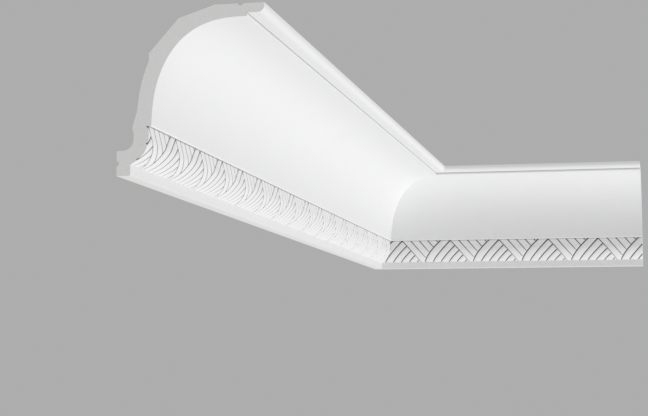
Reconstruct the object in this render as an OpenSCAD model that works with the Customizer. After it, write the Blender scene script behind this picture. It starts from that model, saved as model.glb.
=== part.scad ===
// Coved cornice moulding with a woven band: two lengths mitred at an inside corner.
// The origin is where the two walls and the ceiling meet. +X runs along the back wall,
// -Y along the side wall and +Z up, so the whole moulding hangs below z = 0.

/* [Overall] */
// Height of the moulding down the wall
wall_drop = 120; // [100:1:150]
// Reach of the moulding across the ceiling
ceiling_reach = 107; // [89:1:130]
// Length along the side wall, from the room corner to the square cut
side_length = 993; // [400:1:2000]
// Length along the back wall, from the room corner to the square cut
back_length = 344; // [200:1:2000]

/* [Nose] */
// Thickness of the nose that lies against the ceiling
nose_thickness = 6.7; // [5:0.1:8]
// Radius of the rounded edge under the nose
nose_radius = 4.7; // [2:0.1:4.9]
// Width of the nose, out from the step
nose_width = 12.5; // [9:0.1:18]
// Drop of the step between the nose and the cove
step_drop = 2.5; // [1:0.1:4]

/* [Cove] */
// Fullness of the hollow towards the nose, where 2 is an ellipse
fullness_out = 2.68; // [2:0.01:3.2]
// Fullness of the hollow towards the lip, where 2 is an ellipse
fullness_down = 2.15; // [2:0.01:2.8]
// Thickness of the moulding behind the cove
shell = 11; // [8:0.1:12.5]

/* [Lip and band] */
// Radius of the small bead where the cove ends
bead_radius = 0.9; // [0.6:0.05:1.3]
// How far the bead stands out from the band
lip_overhang = 1.9; // [1.4:0.1:3]
// Distance of the band's face from the wall
band_reach = 23.5; // [20:0.1:27]
// Height of the woven band
band_height = 27; // [22:0.5:32]
// Radius of the band's rounded lower part
band_radius = 22; // [19:0.5:26]
// Thickness of the plain fillet at the wall
fillet_thickness = 10.2; // [8:0.1:12]
// Height of the plain fillet below the band
fillet_height = 8; // [5:0.1:12]
// Width of the small shelf on top of the fillet
quirk = 0.4; // [0.3:0.1:1]

/* [Weave] */
// Length of one repeat of the woven pattern
repeat_length = 62.5; // [52:0.5:75]
// Rising strips in one repeat
rising_strips = 6; // [5:1:7]
// Lean of the first rising strip, sideways over the height of the band
rising_lean = 22; // [18:0.5:26]
// How much more each next rising strip leans
lean_growth = 2; // [0:0.1:3]
// Falling strips that start at the lip in one repeat
falling_strips = 5; // [4:1:5]
// Distance between falling strips along the lip
falling_pitch = 11.2; // [9.5:0.1:12]
// Lean of the falling strips, sideways over the height of the band
falling_lean = 23; // [18:0.5:26]
// How far the outer strip of each group bows out at mid height
strip_bow = 1.9; // [0:0.1:3]
// Width of the grooves between strips
groove_width = 1.3; // [0.8:0.1:2]
// Depth of the grooves, straight back towards the wall
groove_depth = 1.1; // [0.5:0.1:1.6]
// Start of a repeat on the side length, from its square cut
side_phase = 0; // [0:0.5:60]
// Start of a repeat on the back length, from the room corner
back_phase = 39; // [0:0.5:60]

/* [Back] */
// Height of the pad that is glued to the wall
wall_pad = 17.8; // [15:0.1:22]
// Depth of the wall pad's level shoulder
pad_shoulder = 4.4; // [3:0.1:5]
// Radius of the curve from that shoulder into the hollow
heel_radius = 8; // [6:0.1:8.5]
// Depth of the small ridge in the hollow, behind the lip
ridge = 1.2; // [0.5:0.1:2]
// Distance of that ridge below the lip
ridge_below = 1; // [0:0.1:2]
// Height over which the ridge fades out below
ridge_fade = 4; // [2:0.1:5]
// Width of the pad that is glued to the ceiling
ceiling_pad = 36; // [30:0.5:42]
// Slope of the flat behind the crown of the cove, in degrees from level
flat_slope = 48.4; // [44:0.1:53]
// Thickness at the middle of that flat
flat_thickness = 11.6; // [8:0.1:13]
// Length of the flat below its middle
flat_below = 17.6; // [12:0.1:20]
// Length of the flat above its middle
flat_above = 14.9; // [10:0.1:16]
// Height of the short upright below the flat
flat_upright = 4.6; // [2:0.1:8]
// Width of the glue grooves in the two pads
glue_width = 4.4; // [3:0.1:5]
// Depth of the glue grooves
glue_depth = 1.6; // [0.8:0.1:2]
// Middle of the wall pad's glue groove, up from the lower edge
wall_glue_up = 8.8; // [6:0.1:11]
// Middle of the ceiling pad's glue groove, back from the nose
ceiling_glue_in = 17.4; // [12:0.1:24]

/* [Hidden] */
$fn = 96;
beyond = 5;        // how far a cutting shape runs past what it cuts
round_steps = 8;   // straight stretches in a small rounded edge
cove_steps = 32;   // straight stretches in the cove
back_steps = 20;   // straight stretches in the curve behind it
groove_steps = 4;  // straight stretches in a bowed groove
meeting_tries = 4; // passes that find where two grooves meet
bow_fade = 3;      // how quickly the bow dies out from one groove to the next
shell_from = 84;   // where the curve behind the cove starts, as the cove's t

step_out = ceiling_reach - nose_width;
cove_top = nose_thickness + step_drop;
band_foot = wall_drop - fillet_height;
lip_down = band_foot - band_height;
bead_out = band_reach + lip_overhang;
cove_bottom = lip_down - bead_radius;
pad_down = wall_drop - wall_pad;
pad_edge = ceiling_reach - ceiling_pad;
heel_out = pad_shoulder + heel_radius;
ridge_down = lip_down + ridge_below;
first_lean = rising_lean + lean_growth;

// Centre of the band's rounded lower part, which ends at the shelf on the fillet
band_out = band_reach + quirk - band_radius;
band_down = band_foot - sqrt(pow(band_radius, 2) - pow(fillet_thickness + quirk - band_out, 2));

// A point given by its distances from the wall and from the ceiling
function at(out, down) = [out, -down];

function arc(out, down, r, from, to) =
    [for (i = [0:round_steps]) let (a = from + (to - from) * i / round_steps)
        at(out + r * cos(a), down + r * sin(a))];

// The cove is a quarter of a superellipse: t is 0 at the step and 90 at the lip.
// The curve behind it has both half widths larger by behind.
function cove_at(t, behind = 0) =
    at(step_out - (step_out - bead_out + behind) * pow(sin(t), 2 / fullness_out),
       cove_bottom - (cove_bottom - cove_top + behind) * pow(cos(t), 2 / fullness_down));

// The flat behind the cove lies across from the crown, the point furthest back
flat_along = [cos(flat_slope), sin(flat_slope)];
flat_back = [-sin(flat_slope), cos(flat_slope)];
cove_points = [for (i = [0:cove_steps]) cove_at(90 * i / cove_steps)];
crown_back = max([for (p = cove_points) p * flat_back]);
crown = [for (p = cove_points) if (p * flat_back == crown_back) p][0];
flat_middle = crown + flat_thickness * flat_back;
flat_low = flat_middle - flat_below * flat_along;
flat_high = flat_middle + flat_above * flat_along;

// The curve behind the cove, from behind the lip up to a little below the flat
shell_curve = [for (i = [back_steps:-1:1]) let (p = cove_at(shell_from * i / back_steps, shell))
    if (p[1] < flat_low[1] - flat_upright) p];

module front_outline() {
    polygon(concat(
        [at(0, 0), at(0, wall_drop), at(fillet_thickness, wall_drop)],
        [at(fillet_thickness, band_foot), at(band_reach, band_foot), at(band_reach, lip_down)],
        arc(bead_out - bead_radius, cove_bottom, bead_radius, 90, 0),
        [for (i = [cove_steps - 1:-1:0]) cove_points[i]],
        [at(step_out, nose_thickness)],
        arc(ceiling_reach - nose_radius, nose_thickness - nose_radius, nose_radius, 90, 0),
        [at(ceiling_reach, 0)]
    ));
}

// Everything between the moulding and the corner that it hides
module hollow() {
    polygon(concat(
        [at(-beyond, -beyond), at(-beyond, pad_down)],
        arc(pad_shoulder, pad_down - heel_radius, heel_radius, 90, 0),
        [at(heel_out, ridge_down + ridge_fade), at(heel_out - ridge, ridge_down)],
        shell_curve,
        [flat_low, flat_high, at(pad_edge, 0), at(pad_edge, -beyond)]
    ));
}

// The circle of the band's rounded part. Set back, it is the floor of the grooves, and
// as it falls away from the flat face above its centre, they are deepest at the lip.
module band_circle(setback = 0) {
    translate(at(band_out - setback, band_down)) circle(band_radius);
}

module glue_groove() {
    r = (pow(glue_width / 2, 2) + pow(glue_depth, 2)) / (2 * glue_depth);
    translate([0, r - glue_depth]) circle(r);
}

module section() {
    difference() {
        front_outline();
        hollow();
        difference() {
            translate(at(fillet_thickness, band_foot)) square([band_reach, band_foot - band_down]);
            band_circle();
        }
        translate(at(0, wall_drop - wall_glue_up)) rotate(-90) glue_groove();
        translate(at(ceiling_reach - ceiling_glue_in, 0)) glue_groove();
    }
}

// Sweeps a section along the wall, from one distance to another
module run(from, to) {
    translate([0, to, 0]) rotate([90, 0, 0]) linear_extrude(to - from) children();
}

// Grooves seen from the front: v is 0 at the lip and 1 at the foot of the band, and the
// result is the distance along the wall. Rising groove 1 and falling groove 0 share the
// repeat's start at the lip. A bow is a parabola, and groove 0 of each group bows out most.
function bow(n, v) = strip_bow * 4 * v * (1 - v) / (1 + bow_fade * n);
function rising(n, v) =
    (n - 1) * repeat_length / rising_strips - first_lean
    + (1 - v) * (rising_lean + lean_growth * n) - bow(n, v);
function falling(n, v) = n * falling_pitch + v * falling_lean + bow(n, v) / 2;

// Where rising groove n meets the repeat's first falling groove
function rising_top(n, v = 0.5, tries = meeting_tries) = tries == 0 ? max(0, v) :
    rising_top(n, v + (rising(n, v) - falling(0, v)) / (rising_lean + falling_lean), tries - 1);

// Where falling groove n meets the next repeat's first rising groove
function falling_foot(n, v = 0.5, tries = meeting_tries) = tries == 0 ? min(1, v) :
    falling_foot(n, v + (rising(0, v) + repeat_length - falling(n, v))
        / (rising_lean + falling_lean), tries - 1);

function on_band(along, v) = at(along, lip_down + v * band_height);

// A groove as a narrow bowed stroke on the front of the band
module stroke(points) {
    side = [groove_width / sqrt(2), 0];
    last = len(points) - 1;
    polygon(concat([for (p = points) p - side], [for (i = [last:-1:0]) points[i] + side]));
}

module repeat_strokes() {
    for (n = [0:rising_strips - 1]) {
        top = n < 2 ? 0 : rising_top(n);
        stroke([for (i = [0:groove_steps]) let (v = top + (1 - top) * i / groove_steps)
            on_band(rising(n, v), v)]);
    }
    for (n = [0:falling_strips - 1]) {
        foot = falling_foot(n);
        stroke([for (i = [0:groove_steps]) let (v = foot * i / groove_steps)
            on_band(falling(n, v), v)]);
    }
}

// The grooves of the repeats from one start on, down to their floor
module weave(first, to) {
    difference() {
        translate([fillet_thickness / 2, 0, 0]) rotate([90, 0, 90])
            linear_extrude(band_reach)
                for (start = [first:repeat_length:to + first_lean])
                    translate([start, 0]) repeat_strokes();
        run(first - repeat_length, to + repeat_length) band_circle(groove_depth);
    }
}

// Everything past the mitre, for a length that ends at the room corner
module past_mitre() {
    far = ceiling_reach + beyond;
    translate([0, 0, -wall_drop - beyond]) linear_extrude(wall_drop + 2 * beyond)
        polygon([[-beyond, beyond], [far, beyond], [far, -far]]);
}

module side_moulding() {
    color("white") difference() {
        run(-side_length, beyond / 2) section();
        past_mitre();
        weave(side_phase - side_length - repeat_length, 0);
    }
}

module back_moulding() {
    color("white") rotate([0, 0, -90]) difference() {
        run(-beyond / 2, back_length) section();
        mirror([0, 1, 0]) past_mitre();
        weave(back_phase - repeat_length, back_length);
    }
}

side_moulding();
back_moulding();
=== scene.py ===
import math

import bmesh
import bpy
from mathutils import Matrix, Vector


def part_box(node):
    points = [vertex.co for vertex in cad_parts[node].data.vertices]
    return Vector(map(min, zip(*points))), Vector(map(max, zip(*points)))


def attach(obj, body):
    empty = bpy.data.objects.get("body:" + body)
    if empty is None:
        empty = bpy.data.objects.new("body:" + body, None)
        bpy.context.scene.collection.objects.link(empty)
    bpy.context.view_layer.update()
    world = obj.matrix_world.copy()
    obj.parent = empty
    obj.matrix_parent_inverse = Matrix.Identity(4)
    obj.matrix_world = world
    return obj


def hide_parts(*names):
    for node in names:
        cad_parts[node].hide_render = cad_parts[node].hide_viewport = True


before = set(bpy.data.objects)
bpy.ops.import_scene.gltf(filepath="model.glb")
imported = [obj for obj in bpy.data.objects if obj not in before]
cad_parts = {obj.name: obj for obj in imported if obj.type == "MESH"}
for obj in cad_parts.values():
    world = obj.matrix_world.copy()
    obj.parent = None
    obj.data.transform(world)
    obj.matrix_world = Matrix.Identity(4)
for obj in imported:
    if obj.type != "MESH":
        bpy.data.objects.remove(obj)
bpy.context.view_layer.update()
mm = 0.001

# Both lengths are made in one local frame, in millimetres: x is the distance from the wall, y runs
# along the wall from left to right as seen from the room, and z is the height, 0 at the ceiling.
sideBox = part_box("side_moulding")
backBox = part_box("back_moulding")
wallDrop = -sideBox[0][2] / mm
ceilingReach = sideBox[1][0] / mm

section = {
    "noseThickness": 6.7,
    "noseRadius": 4.7,
    "noseWidth": 12.5,
    "stepDrop": 2.5,
    "fullnessOut": 2.68,      # roundness of the cove towards the nose, 2 is an ellipse
    "fullnessDown": 2.15,     # and towards the lip
    "shell": 11,              # thickness behind the cove
    "shellEnd": 84,           # how far round the cove the shell follows it, in degrees
    "beadRadius": 0.9,
    "lipOverhang": 1.9,
    "bandReach": 23.5,
    "bandHeight": 27,
    "bandRadius": 22,
    "bandSoftness": 0.4,      # how softly the band turns from upright to round
    "filletThickness": 10.2,
    "filletHeight": 8,
    "quirk": 0.4,
    "wallPad": 17.8,
    "padShoulder": 4.4,
    "heelRadius": 8,
    "ridge": 1.2,
    "ridgeBelow": 1,
    "ridgeFade": 4,
    "ceilingPad": 36,
    "flatSlope": 48.4,
    "flatThickness": 11.6,
    "flatBelow": 17.6,
    "flatAbove": 14.9,
    "flatUpright": 4.6,
    "glueWidth": 4.4,
    "glueDepth": 1.6,
    "wallGlueUp": 8.8,
    "ceilingGlueIn": 17.4,
    "easing": 0.35,           # rounding of the sharp front edges
    "stepPaintedShade": 0.75,       # shade painted into the colour in the corner above the step
    # the width over which that painted shade fades out
    "stepCreaseWidth": 0.9,
}

stepOut = ceilingReach - section["noseWidth"]
coveTop = section["noseThickness"] + section["stepDrop"]
bandFoot = wallDrop - section["filletHeight"]
lipDown = bandFoot - section["bandHeight"]
beadOut = section["bandReach"] + section["lipOverhang"]
coveBottom = lipDown - section["beadRadius"]
bandOut = section["bandReach"] + section["quirk"] - section["bandRadius"]
footOut = section["filletThickness"] + section["quirk"]
bandDown = bandFoot - math.sqrt(section["bandRadius"] ** 2 - (footOut - bandOut) ** 2)


def arc(out, down, radius, start, end, steps=8):
    angles = [math.radians(start + (end - start) * i / steps) for i in range(steps + 1)]
    return [(out + radius * math.cos(a), -(down + radius * math.sin(a))) for a in angles]


def coveAt(degrees, behind=0):
    # a quarter of a superellipse, 0 at the step and 90 at the lip
    t = math.radians(degrees)
    inward = abs(math.sin(t)) ** (2 / section["fullnessOut"])
    up = abs(math.cos(t)) ** (2 / section["fullnessDown"])
    return (stepOut - (stepOut - beadOut + behind) * inward,
            -coveBottom + (coveBottom - coveTop + behind) * up)


def eased(before, corner, after, steps=3):
    # a sharp corner, slightly rounded
    here = Vector(corner)
    start = here + (Vector(before) - here).normalized() * section["easing"]
    end = here + (Vector(after) - here).normalized() * section["easing"]
    points = []
    for i in range(steps + 1):
        t = i / steps
        points.append(tuple(start * (1 - t) ** 2 + here * 2 * t * (1 - t) + end * t * t))
    return points


def glueArc(middleOut, middleDown, facingWall):
    width, depth = section["glueWidth"] / 2, section["glueDepth"]
    radius = (width ** 2 + depth ** 2) / (2 * depth)
    half = math.degrees(math.asin(width / radius))
    if facingWall:
        return arc(middleOut + depth - radius, middleDown, radius, -half, half)
    return arc(middleOut, middleDown + depth - radius, radius, 90 - half, 90 + half)


def frontOutline(coveSteps=56, noseSteps=10):
    cove = [coveAt(90 * (1 - i / coveSteps)) for i in range(coveSteps + 1)]
    points = arc(beadOut - section["beadRadius"], coveBottom, section["beadRadius"], 90, 0)[:-1]
    stepCorner = (stepOut, -section["noseThickness"])
    points += cove[:-1] + eased(cove[-2], cove[-1], stepCorner) + [stepCorner]
    # a point just past the step's corner, over which the painted shade there fades out
    points.append((stepOut + section["stepCreaseWidth"], -section["noseThickness"]))
    radius = section["noseRadius"]
    points += arc(ceilingReach - radius, section["noseThickness"] - radius, radius, 90, 0,
                  noseSteps)
    return points + [(ceilingReach, 0)]


def backOutline(steps=24, crownSteps=32):
    slope = math.radians(section["flatSlope"])
    along = Vector((math.cos(slope), math.sin(slope)))
    back = Vector((-math.sin(slope), math.cos(slope)))
    coves = [Vector(coveAt(90 * i / crownSteps)) for i in range(crownSteps + 1)]
    crown = max(coves, key=lambda p: p.dot(back))
    middle = crown + section["flatThickness"] * back
    low = middle - section["flatBelow"] * along
    high = middle + section["flatAbove"] * along
    shell = [coveAt(section["shellEnd"] * i / steps, section["shell"]) for i in range(1, steps + 1)]
    shell = [p for p in shell if p[1] < low[1] - section["flatUpright"]]
    padDown = wallDrop - section["wallPad"]
    heelRadius = section["heelRadius"]
    heelOut = section["padShoulder"] + heelRadius
    ridgeDown = lipDown + section["ridgeBelow"]
    foot = (section["filletThickness"], -wallDrop)
    return [(ceilingReach, 0),
            *glueArc(ceilingReach - section["ceilingGlueIn"], 0, False),
            (ceilingReach - section["ceilingPad"], 0),
            tuple(high), tuple(low), *shell,
            (heelOut - section["ridge"], -ridgeDown),
            (heelOut, -ridgeDown - section["ridgeFade"]),
            *arc(section["padShoulder"], padDown - heelRadius, heelRadius, 0, 90)[1:],
            (0, -padDown),
            *glueArc(0, wallDrop - section["wallGlueUp"], True),
            (0, -wallDrop),
            *eased((0, -wallDrop), foot, (section["filletThickness"], -bandFoot))]


# the woven band
weave = {
    "repeatLength": 62.5,
    "risingStrips": 6,
    "risingFromLip": 2,       # how many of the rising grooves start at the lip
    "risingLean": 22,
    "leanGrowth": 2,
    "fallingStrips": 5,
    "fallingPitch": 11.2,
    "fallingLean": 23,
    "stripBow": 1.9,
    "bowFade": 3,
    "rows": 56,
    # a groove's shape along the band: distance from its middle, then the shares of its depth and
    # of the shade painted into its colour there
    "litSide": ((0.28, 1, 1), (0.42, 0.74, 0), (1.4, 0, 0)),    # upper left of a rising groove
    "darkSide": ((0.45, 1, 1), (0.62, 0.5, 1), (1.3, 0.32, 0.42), (3, 0.12, 0), (5.5, 0, 0)),
    "fallingSide": ((0.3, 1, 1), (0.45, 0.4, 0.85), (1.4, 0, 0)),
    "risingShoulder": 1.75,   # one more line of the mesh past a groove's shape
    "fallingShoulder": 1.55,
    "creaseSide": ((0.3, 1), (1.3, 0)),  # share of the shade painted below the lip
    # how dark the painted shade in the crease under the lip is
    "creasePaintedShade": 0.85,
    "risingDepths": (2, 1.45, 0.9),      # at the lip, half way down and at the foot
    "fallingDepths": (1.15, 0.9, 0.7),
    "endFade": 1.1,           # length over which a groove dies out where it meets another group
    "stripFill": 0.95,        # most of a strip's width that the lines beside its grooves take up
    "overrun": 12,            # length made past a cut
}
firstLean = weave["risingLean"] + weave["leanGrowth"]


def bow(n, v):
    return weave["stripBow"] * 4 * v * (1 - v) / (1 + weave["bowFade"] * n)


def rising(n, v):
    return ((n - 1) * weave["repeatLength"] / weave["risingStrips"] - firstLean
            + (1 - v) * (weave["risingLean"] + weave["leanGrowth"] * n) - bow(n, v))


def falling(n, v):
    return n * weave["fallingPitch"] + v * weave["fallingLean"] + bow(n, v) / 2


def meeting(difference, halvings=40):
    # the height on the band at which two grooves meet, 0 at the lip and 1 at the foot
    low, high = 0.0, 1.0
    for _ in range(halvings):
        middle = (low + high) / 2
        low, high = (middle, high) if difference(middle) > 0 else (low, middle)
    return (low + high) / 2


# where the rising grooves start, and where the falling ones after the first end
risingTops = [0 if n < weave["risingFromLip"] else meeting(lambda v: rising(n, v) - falling(0, v))
              for n in range(weave["risingStrips"])]
fallingFeet = [meeting(lambda v: rising(0, v) + weave["repeatLength"] - falling(n, v))
               for n in range(1, weave["fallingStrips"])]


def fromThree(values, v):
    # a smooth curve through three values at 0, a half and 1
    first, middle, last = values
    return first * (1 - v) * (1 - 2 * v) + middle * 4 * v * (1 - v) + last * v * (2 * v - 1)


def fadeIn(distance):
    t = min(1, max(0, distance / weave["endFade"]))
    return t * t * (3 - 2 * t)


def sharesAt(distance, shape):
    # the shares at a distance from a groove's middle, between the places of its shape
    before = (0,) + (1,) * (len(shape[0]) - 1)
    for place in shape:
        if distance <= place[0]:
            t = (distance - before[0]) / (place[0] - before[0])
            return [first + (second - first) * t for first, second in zip(before[1:], place[1:])]
        before = place
    return before[1:]


def risingCut(distance):
    return sharesAt(abs(distance), weave["litSide"] if distance < 0 else weave["darkSide"])


def fallingCut(distance):
    return sharesAt(abs(distance), weave["fallingSide"])


def grooveAt(y, v):
    # how deep the band is cut here, and how much shade is painted into its colour there
    edge = falling(0, v)
    tiny = 1e-6
    risingDepth = fromThree(weave["risingDepths"], v)
    fallingDepth = fromThree(weave["fallingDepths"], v)
    cuts = [(fallingDepth, fallingCut(y - edge))]
    if y < edge + tiny:
        for n, top in enumerate(risingTops):
            strength = 1 if top == 0 else fadeIn((v - top) * section["bandHeight"])
            cuts.append((risingDepth * strength, risingCut(y - rising(n, v))))
    if y > edge - tiny:
        cuts.append((risingDepth, risingCut(y - rising(0, v) - weave["repeatLength"])))
        for n, foot in enumerate(fallingFeet, 1):
            strength = fadeIn((foot - v) * section["bandHeight"])
            cuts.append((fallingDepth * strength, fallingCut(y - falling(n, v))))
    # painted shade along the crease under the lip
    crease = sharesAt(v * section["bandHeight"], weave["creaseSide"])[0]
    return (max(depth * shares[0] for depth, shares in cuts),
            max(weave["creasePaintedShade"] * crease, *(depth * shares[1] for depth, shares in cuts)))


def across(left, right, afterLeft, beforeRight):
    # places across a strip, close together beside its grooves
    room = weave["stripFill"] * (right - left)
    scale = min(1, room / (afterLeft[-1] + beforeRight[0]))
    start = [left + distance * scale for distance in afterLeft]
    end = [right - distance * scale for distance in beforeRight]
    return [left, *start, (start[-1] + end[0]) / 2, *end]


def bandFace(down):
    # upright below the lip, then round, with a soft change between the two
    upright, soft = section["bandReach"], section["bandSoftness"]
    curved = bandOut + math.sqrt(section["bandRadius"] ** 2 - max(0, down - bandDown) ** 2)
    share = min(1, max(0, 0.5 + 0.5 * (curved - upright) / soft))
    return curved * (1 - share) + upright * share - soft * share * (1 - share)


def bandAt(v):
    # a point of the band's face and the direction out of it
    down, step = lipDown + v * section["bandHeight"], 1e-4
    slope = (bandFace(down + step) - bandFace(down - step)) / (2 * step)
    length = math.hypot(1, slope)
    return bandFace(down), down, 1 / length, -slope / length


def bandHeights():
    # heights spaced evenly along the face, with one at each place where grooves meet
    radius = section["bandRadius"]
    turn = math.acos((section["bandReach"] - bandOut) / radius)
    flat = bandDown + radius * math.sin(turn) - lipDown
    last = math.asin((bandFoot - bandDown) / radius)
    total = flat + (last - turn) * radius
    heights = []
    for i in range(weave["rows"] + 1):
        s = total * i / weave["rows"]
        down = lipDown + s
        if s >= flat:
            down = bandDown + radius * math.sin(turn + (s - flat) / radius)
        heights.append((down - lipDown) / section["bandHeight"])
    for special in [*risingTops, *fallingFeet]:
        if 0 < special < 1:
            nearest = min(range(1, weave["rows"]), key=lambda i: abs(heights[i] - special))
            heights[nearest] = special
    return heights


# distances at which the mesh has a line beside a groove
darkPlaces = [place[0] for place in weave["darkSide"]]
litPlaces = [weave["risingShoulder"]] + [place[0] for place in reversed(weave["litSide"])]
fallingPlaces = [place[0] for place in weave["fallingSide"]] + [weave["fallingShoulder"]]


def bandRow(v):
    edge = falling(0, v)
    end = rising(0, v) + weave["repeatLength"]
    lines = [min(rising(n, v), edge) if v >= top else edge for n, top in enumerate(risingTops)]
    lines += [edge]
    row = []
    for left, right in zip(lines, lines[1:]):
        row += across(left, right, darkPlaces, litPlaces)
    lines = [edge] + [min(falling(n, v), end) for n in range(1, weave["fallingStrips"])] + [end]
    for left, right in zip(lines, lines[1:]):
        row += across(left, right, fallingPlaces, fallingPlaces[::-1])
    return row + [end]


def onePattern(weld=1e-4, near=1e-5):
    # one repeat of the band, with the flat under the lip, the shelf and the fillet's face
    bm = bmesh.new()
    # each point carries how much shade is painted into the paint colour there
    paintedShadeLayer = bm.verts.layers.float.new("dullness")
    rows = []
    for v in bandHeights():
        out, down, outward, downward = bandAt(v)
        row = []
        for y in bandRow(v):
            depth, dullness = grooveAt(y, v)
            vert = bm.verts.new((out - depth * outward, y, -(down - depth * downward)))
            vert[paintedShadeLayer] = dullness
            row.append(vert)
        rows.append(row)
    for upper, lower in zip(rows, rows[1:]):
        for i in range(len(upper) - 1):
            bm.faces.new((upper[i], upper[i + 1], lower[i + 1], lower[i]))
    filletOut = section["filletThickness"]
    fillet = [bm.verts.new((filletOut, vert.co.y, -bandFoot)) for vert in rows[-1]]
    for i in range(len(fillet) - 1):
        bm.faces.new((rows[-1][i], rows[-1][i + 1], fillet[i + 1], fillet[i]))
    start, end = rising(0, 0), rising(0, 0) + weave["repeatLength"]
    beadIn = beadOut - section["beadRadius"]
    lipEdge = [bm.verts.new((beadIn, y, -lipDown)) for y in (end, start)]
    footEdge = [bm.verts.new((filletOut, y, -wallDrop + section["easing"])) for y in (end, start)]
    bmesh.ops.remove_doubles(bm, verts=bm.verts, dist=weld)
    bmesh.ops.dissolve_degenerate(bm, edges=bm.edges, dist=weld)

    def lineAt(out, height):
        found = [v for v in bm.verts if abs(v.co.z - height) < near]
        if out is not None:
            found = [v for v in found if abs(v.co.x - out) < near]
        return sorted(found, key=lambda v: v.co.y)

    top = [v for v in lineAt(None, -lipDown) if v not in lipEdge]
    flats = [bm.faces.new(top + lipEdge), bm.faces.new(lineAt(filletOut, -bandFoot) + footEdge)]
    bmesh.ops.triangulate(bm, faces=flats, ngon_method="BEAUTY")
    mesh = bpy.data.meshes.new("onePattern")
    bmesh.ops.scale(bm, vec=(mm, mm, mm), verts=bm.verts)
    bm.to_mesh(mesh)
    bm.free()
    return mesh


def outlineObject(name, points):
    mesh = bpy.data.meshes.new(name)
    start = rising(0, 0)
    mesh.from_pydata([(out * mm, start * mm, height * mm) for out, height in points],
                     [(i, i + 1) for i in range(len(points) - 1)], [])
    stepCorner = (stepOut, -section["noseThickness"])
    # the step's inner corner gets shade painted into its colour
    paintedShadeValues = mesh.attributes.new("dullness", "FLOAT", "POINT")
    for value, point in zip(paintedShadeValues.data, points):
        value.value = section["stepPaintedShade"] if point == stepCorner else 0
    thing = bpy.data.objects.new(name, mesh)
    bpy.context.scene.collection.objects.link(thing)
    return thing


class Wire:
    # an output of a node, which can be used in sums
    def __init__(self, tree, socket=None):
        self.tree, self.socket = tree, socket

    def node(self, kind, settings=(), values=(), output=0):
        made = self.tree.nodes.new(kind)
        for name, value in dict(settings).items():
            if name == "stops":
                ramp = made.color_ramp.elements
                while len(ramp) < len(value):
                    ramp.new(0.5)
                for element, (position, colour) in zip(ramp, value):
                    element.position, element.color = position, colour
            else:
                setattr(made, name, value)
        for name, value in dict(values).items():
            if isinstance(value, Wire):
                self.tree.links.new(value.socket, made.inputs[name])
            else:
                made.inputs[name].default_value = value
        return Wire(self.tree, made.outputs[output] if made.outputs else None)

    def maths(self, operation, first, second):
        return self.node("ShaderNodeMath", {"operation": operation}, {0: first, 1: second})

    def __add__(self, other):
        return self.maths("ADD", self, other)

    __radd__ = __add__

    def __mul__(self, other):
        return self.maths("MULTIPLY", self, other)

    __rmul__ = __mul__


def runTree(weld=0.004):
    # extrudes the outlines by one repeat, joins them to the band, repeats all of it along the
    # wall, welds it and gives it its materials
    tree = bpy.data.node_groups.new("runMoulding", "GeometryNodeTree")
    kinds = {"Geometry": "Geometry", "Front Outline": "Object", "Back Outline": "Object",
             "Repeats": "Int", "Repeat Length": "Float", "Start": "Float", "Sharp Angle": "Float",
             "Face Material": "Material", "Back Material": "Material"}
    sockets = {name: tree.interface.new_socket(name, in_out="INPUT",
                                               socket_type="NodeSocket" + kind).identifier
               for name, kind in kinds.items()}
    tree.interface.new_socket("Geometry", in_out="OUTPUT", socket_type="NodeSocketGeometry")
    given = {output.name: Wire(tree, output) for output in tree.nodes.new("NodeGroupInput").outputs}
    node, link = Wire(tree).node, tree.links.new

    step = node("ShaderNodeCombineXYZ", values={"Y": given["Repeat Length"]})
    start = node("ShaderNodeCombineXYZ", values={"Y": given["Start"]})
    joined = tree.nodes.new("GeometryNodeJoinGeometry")
    for side in ("Front Outline", "Back Outline"):
        outline = node("GeometryNodeObjectInfo", values={"Object": given[side]}, output="Geometry")
        swept = node("GeometryNodeExtrudeMesh", {"mode": "EDGES"},
                     {"Mesh": outline, "Offset": step}, output="Mesh")
        marked = node("GeometryNodeStoreNamedAttribute", {"data_type": "BOOLEAN", "domain": "FACE"},
                      {"Geometry": swept, "Name": "hidden", "Value": side == "Back Outline"})
        link(marked.socket, joined.inputs[0])
    link(given["Geometry"].socket, joined.inputs[0])
    oneRepeat = node("GeometryNodeGeometryToInstance",
                     values={"Geometry": Wire(tree, joined.outputs[0])})
    places = node("GeometryNodeMeshLine", {"mode": "OFFSET"},
                  {"Count": given["Repeats"], "Start Location": start, "Offset": step})
    copies = node("GeometryNodeInstanceOnPoints", values={"Points": places, "Instance": oneRepeat})
    real = node("GeometryNodeRealizeInstances", values={"Geometry": copies})
    merged = node("GeometryNodeMergeByDistance", values={"Geometry": real, "Distance": weld * mm})
    sharp = node("FunctionNodeCompare", {"operation": "GREATER_THAN"},
                 {"A": node("GeometryNodeInputMeshEdgeAngle"), "B": given["Sharp Angle"]})
    smooth = node("GeometryNodeSetShadeSmooth", {"domain": "FACE"},
                  {"Geometry": merged, "Shade Smooth": True})
    crisp = node("GeometryNodeSetShadeSmooth", {"domain": "EDGE"},
                 {"Geometry": smooth, "Selection": sharp, "Shade Smooth": False})
    painted = node("GeometryNodeSetMaterial",
                   values={"Geometry": crisp, "Material": given["Face Material"]})
    hidden = node("GeometryNodeInputNamedAttribute", {"data_type": "BOOLEAN"}, {"Name": "hidden"})
    backed = node("GeometryNodeSetMaterial",
                  values={"Geometry": painted, "Selection": hidden,
                          "Material": given["Back Material"]})
    node("NodeGroupOutput", values={"Geometry": backed})
    return tree, sockets


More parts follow.
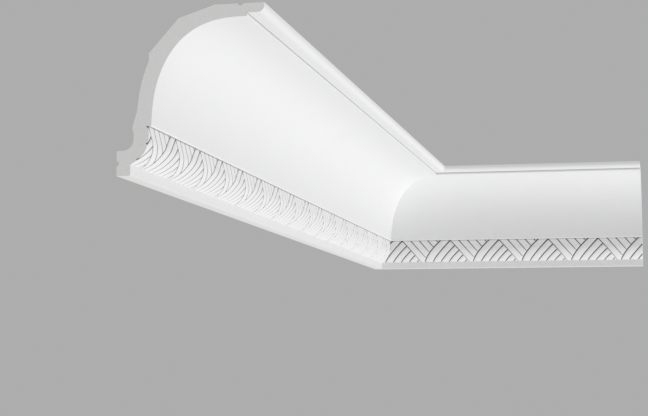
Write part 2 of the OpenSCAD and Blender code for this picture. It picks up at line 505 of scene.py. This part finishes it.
def cutSquare(bm, point, normal, material, snap=1e-7, near=1e-6):
    # cuts everything off past a plane and closes the cut
    geometry = [*bm.verts, *bm.edges, *bm.faces]
    bmesh.ops.bisect_plane(bm, geom=geometry, dist=snap, plane_co=point, plane_no=normal,
                           clear_outer=True)
    normal = Vector(normal).normalized()
    rim = [e for e in bm.edges if e.is_boundary
           and all(abs((v.co - Vector(point)).dot(normal)) < near for v in e.verts)]
    made = bmesh.ops.holes_fill(bm, edges=rim, sides=0)["faces"]
    for capFace in made:
        capFace.material_index = material
        capFace.smooth = False
    bmesh.ops.triangulate(bm, faces=made, ngon_method="BEAUTY")
    return len(made)


def makeLength(name, node, values, pattern, outlines, tree, sockets, finishes, sharpAngle=34):
    face, hidden, sawn = finishes
    base = bpy.data.objects.new(name + "Run", pattern)
    bpy.context.scene.collection.objects.link(base)
    modifier = base.modifiers.new("run", "NODES")
    modifier.node_group = tree
    repeatLength = weave["repeatLength"]
    first = values["from"] + values["phase"]
    while first + rising(0, 0) > values["from"]:
        first -= repeatLength
    repeats = math.ceil((values["to"] + firstLean + weave["overrun"] - first) / repeatLength)
    inputs = {"Front Outline": outlines[0], "Back Outline": outlines[1], "Repeats": repeats,
              "Repeat Length": repeatLength * mm, "Start": first * mm,
              "Sharp Angle": math.radians(sharpAngle), "Face Material": face,
              "Back Material": hidden}
    for label, value in inputs.items():
        modifier[sockets[label]] = value
    graph = bpy.context.evaluated_depsgraph_get()
    mesh = bpy.data.meshes.new_from_object(base.evaluated_get(graph))
    base.modifiers.clear()
    bpy.data.objects.remove(base)
    mesh.name = name
    if sawn.name not in mesh.materials:
        mesh.materials.append(sawn)
    sawnIndex = mesh.materials.find(sawn.name)
    bm = bmesh.new()
    bm.from_mesh(mesh)
    caps = [cutSquare(bm, point, normal, sawnIndex) for point, normal in values["cuts"]]
    bmesh.ops.recalc_face_normals(bm, faces=bm.faces)
    bmesh.ops.transform(bm, matrix=values["turn"], verts=bm.verts)
    loose = sum(1 for e in bm.edges if len(e.link_faces) != 2)
    triangles = sum(len(f.verts) - 2 for f in bm.faces)
    volume = bm.calc_volume(signed=True) / mm ** 3
    bm.to_mesh(mesh)
    bm.free()
    piece = bpy.data.objects.new(name, mesh)
    bpy.context.scene.collection.objects.link(piece)
    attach(piece, "root")
    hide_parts(node)
    print(f"{name}: {triangles} triangles, {repeats} repeats, caps {caps}, "
          f"open edges {loose}, volume {volume:.0f} mm3")


def newMaterial(name):
    material = bpy.data.materials.new(name)
    material.use_nodes = True
    material.node_tree.nodes.clear()
    return material, Wire(material.node_tree).node("ShaderNodeTexCoord", output="Object")


def finishMaterial(material, place, values, colour, grain, height):
    # grain changes the roughness, and height raises the surface
    roughness = values["roughness"] + grain * values["roughnessChange"]
    raised = place.node("ShaderNodeBump",
                        values={"Height": height, "Strength": values["bumpStrength"],
                                "Distance": values["bumpHeight"]})
    shader = place.node("ShaderNodeBsdfPrincipled",
                        values={"Base Color": colour, "Roughness": roughness, "Normal": raised,
                                "Specular IOR Level": values["specular"]})
    place.node("ShaderNodeOutputMaterial", values={"Surface": shader})
    return material


def noise(place, scale, detail, rough):
    return place.node("ShaderNodeTexNoise",
                      values={"Vector": place, "Scale": scale, "Detail": detail,
                              "Roughness": rough}, output="Fac")


def mixed(place, factor, first, second):
    # 6 and 7 are the Mix node's two colours, and output 2 is its colour
    return place.node("ShaderNodeMix", {"data_type": "RGBA"}, {0: factor, 6: first, 7: second},
                      output=2)


paint = {
    "darker": (0.845, 0.847, 0.847, 1), "lighter": (0.865, 0.867, 0.867, 1),
    "mottle": (14, 3, 0.5),   # a noise's scale, detail and roughness
    "peel": (700, 2, 0.45),
    # the dark colour mixed in as painted shade in the grooves, under the lip and above the step
    "paintedShadeColour": (0.1, 0.1, 0.098, 1),
    "paintedShadeFrom": 0.15, "paintedShadeTo": 1.2, "paintedShadeMost": 0.92,
    "roughness": 0.5, "roughnessChange": 0.12, "bumpStrength": 0.12, "bumpHeight": 0.0003,
    "specular": 0.35,
}


def paintedFace():
    material, place = newMaterial("paintedFace")
    peel = noise(place, *paint["peel"])
    colour = mixed(place, noise(place, *paint["mottle"]), paint["darker"], paint["lighter"])
    # painted shade: darkens the colour in the grooves, under the lip and in the corner above the
    # step, where shade falls
    dullness = place.node("ShaderNodeAttribute", {"attribute_name": "dullness"}, output="Fac")
    paintedShadeAmount = place.node("ShaderNodeMapRange", {"interpolation_type": "SMOOTHSTEP"},
                      {"Value": dullness, "From Min": paint["paintedShadeFrom"],
                       "From Max": paint["paintedShadeTo"], "To Max": paint["paintedShadeMost"]})
    colour = mixed(place, paintedShadeAmount, colour, paint["paintedShadeColour"])
    return finishMaterial(material, place, paint, colour, peel, peel)


castBack = {
    "darker": (0.78, 0.78, 0.765, 1), "lighter": (0.86, 0.86, 0.85, 1),
    "cloud": (30, 4, 0.6),
    "skin": (450, 3, 0.55),
    "roughness": 0.62, "roughnessChange": 0.15, "bumpStrength": 0.3, "bumpHeight": 0.0004,
    "specular": 0.3,
}


def mouldedBack():
    material, place = newMaterial("mouldedBack")
    skin = noise(place, *castBack["skin"])
    colour = mixed(place, noise(place, *castBack["cloud"]), castBack["darker"],
                   castBack["lighter"])
    return finishMaterial(material, place, castBack, colour, skin, skin)


cutFoam = {
    "darker": (0.84, 0.84, 0.83, 1), "lighter": (0.94, 0.94, 0.935, 1),
    "poreScale": 1300,
    "poreInside": 0.12, "poreOutside": 0.4,
    "grain": (260, 3, 0.6),
    "grainHeight": 0.5,
    "roughness": 0.85, "roughnessChange": 0.1, "bumpStrength": 0.35, "bumpHeight": 0.0002,
    "specular": 0.2,
}


def sawnEnd():
    material, place = newMaterial("sawnEnd")
    pores = place.node("ShaderNodeTexVoronoi", {"feature": "F1"},
                       {"Vector": place, "Scale": cutFoam["poreScale"]}, output="Distance")
    stops = [(cutFoam["poreInside"], (0, 0, 0, 1)), (cutFoam["poreOutside"], (1, 1, 1, 1))]
    pits = place.node("ShaderNodeValToRGB", {"stops": stops}, {"Fac": pores})
    grain = noise(place, *cutFoam["grain"])
    colour = mixed(place, pits, cutFoam["darker"], cutFoam["lighter"])
    return finishMaterial(material, place, cutFoam, colour, grain,
                          pits + grain * cutFoam["grainHeight"])


finishes = [paintedFace(), mouldedBack(), sawnEnd()]
print("materials made")

# from and to are the ends along the wall, and phase shifts the weave along it
sideMoulding = {
    "from": sideBox[0][1] / mm, "to": 0, "phase": 0,
    "cuts": [((0, sideBox[0][1], 0), (0, -1, 0)), ((0, 0, 0), (1, 1, 0))],
    "turn": Matrix.Identity(4),
}
backMoulding = {
    "from": 0, "to": backBox[1][0] / mm, "phase": 39,
    "cuts": [((0, backBox[1][0], 0), (0, 1, 0)), ((0, 0, 0), (1, -1, 0))],
    "turn": Matrix.Rotation(math.radians(-90), 4, "Z"),
}

pattern = onePattern()
print(f"one repeat of the band: {len(pattern.polygons)} faces")
outlines = [outlineObject("frontOutline", frontOutline()),
            outlineObject("backOutline", backOutline())]
tree, sockets = runTree()
for name, node, values in (("sideMoulding", "side_moulding", sideMoulding),
                           ("backMoulding", "back_moulding", backMoulding)):
    makeLength(name, node, values, pattern, outlines, tree, sockets, finishes)
for outline in outlines:
    bpy.data.objects.remove(outline)

# floor, light and camera
studio = {
    "floorHeight": -6,
    "floorRadius": 16,
    "floorSides": 64,
    "floorColour": (0.75, 0.75, 0.75, 1),
    "floorSeen": (0.3, 0.3, 0.3, 1),     # the floor's colour to the camera, with a lift of its own
    "floorLift": (0.222, 0.222, 0.222, 1),
    "background": (0.42, 0.42, 0.42, 1),
    "ambient": 0.64,
    "lightDistance": 3.4,
    "aim": (0.1, -0.4, -0.06),
    "place": (0.3841, -2.0506, -0.2607),  # the camera's, with its turns in degrees
    "yaw": -12.474, "pitch": 6.063, "roll": 0.165,
    "lens": 88.504, "sensor": 36,
    # each lamp's direction from the moulding, strength and size
    "lamps": {"key": ((0.62, 0.03, -0.78), 65.5, 1.6),
              "behind": ((-0.6, 0.5, 0.7), 42, 2.4)},
}


def seenRays(start):
    # 1 for what is seen directly, in a reflection or through glass, 0 for what lights the moulding
    camera, gloss, glass = [start.node("ShaderNodeLightPath", output=name)
                            for name in ("Is Camera Ray", "Is Glossy Ray", "Is Transmission Ray")]
    return start.maths("MAXIMUM", start.maths("MAXIMUM", camera, gloss), glass)


def makeFloor():
    mesh = bpy.data.meshes.new("floor")
    bm = bmesh.new()
    bmesh.ops.create_circle(bm, cap_ends=True, segments=studio["floorSides"],
                            radius=studio["floorRadius"])
    bm.to_mesh(mesh)
    bm.free()
    mesh.transform(Matrix.Translation((0, 0, studio["floorHeight"])))
    floor = bpy.data.objects.new("floor", mesh)
    bpy.context.scene.collection.objects.link(floor)
    material = bpy.data.materials.new("floor")
    material.use_nodes = True
    material.node_tree.nodes.clear()
    start = Wire(material.node_tree)
    plain = start.node("ShaderNodeBsdfDiffuse", values={"Color": studio["floorColour"]})
    seen = start.node("ShaderNodeBsdfDiffuse", values={"Color": studio["floorSeen"]})
    lift = start.node("ShaderNodeEmission", values={"Color": studio["floorLift"], "Strength": 1})
    lifted = start.node("ShaderNodeAddShader", values={0: seen, 1: lift})
    mix = start.node("ShaderNodeMixShader", values={0: seenRays(start), 1: plain, 2: lifted})
    start.node("ShaderNodeOutputMaterial", values={"Surface": mix})
    mesh.materials.append(material)


def makeWorld():
    world = bpy.data.worlds.new("studio")
    bpy.context.scene.world = world
    world.use_nodes = True
    world.node_tree.nodes.clear()
    start = Wire(world.node_tree)
    light = start.node("ShaderNodeBackground",
                       values={"Color": (1, 1, 1, 1), "Strength": studio["ambient"]})
    plain = start.node("ShaderNodeBackground",
                       values={"Color": studio["background"], "Strength": 1})
    mix = start.node("ShaderNodeMixShader", values={0: seenRays(start), 1: light, 2: plain})
    start.node("ShaderNodeOutputWorld", values={"Surface": mix})


def makeLamp(name, direction, power, size):
    data = bpy.data.lights.new(name, "AREA")
    data.shape, data.size, data.energy = "DISK", size, power
    lamp = bpy.data.objects.new(name, data)
    bpy.context.scene.collection.objects.link(lamp)
    away = Vector(direction).normalized()
    lamp.location = Vector(studio["aim"]) + away * studio["lightDistance"]
    lamp.rotation_mode = "QUATERNION"
    lamp.rotation_quaternion = (-away).to_track_quat("-Z", "Y")
    lamp.visible_camera = False


def makeCamera():
    yaw, pitch, roll = (math.radians(studio[turn]) for turn in ("yaw", "pitch", "roll"))
    forward = Vector((math.sin(yaw) * math.cos(pitch), math.cos(yaw) * math.cos(pitch),
                      math.sin(pitch)))
    level = Vector((math.cos(yaw), -math.sin(yaw), 0))
    upright = level.cross(forward)
    right = math.cos(roll) * level + math.sin(roll) * upright
    up = -math.sin(roll) * level + math.cos(roll) * upright
    data = bpy.data.cameras.new("camera")
    data.sensor_width, data.lens = studio["sensor"], studio["lens"]
    camera = bpy.data.objects.new("camera", data)
    bpy.context.scene.collection.objects.link(camera)
    turn = Matrix((right, up, -forward)).transposed().to_4x4()
    camera.matrix_world = Matrix.Translation(studio["place"]) @ turn
    bpy.context.scene.camera = camera


makeFloor()
makeWorld()
for name, (direction, power, size) in studio["lamps"].items():
    makeLamp(name, direction, power, size)
makeCamera()
bpy.context.scene.view_settings.view_transform = "Standard"
print("stage made")
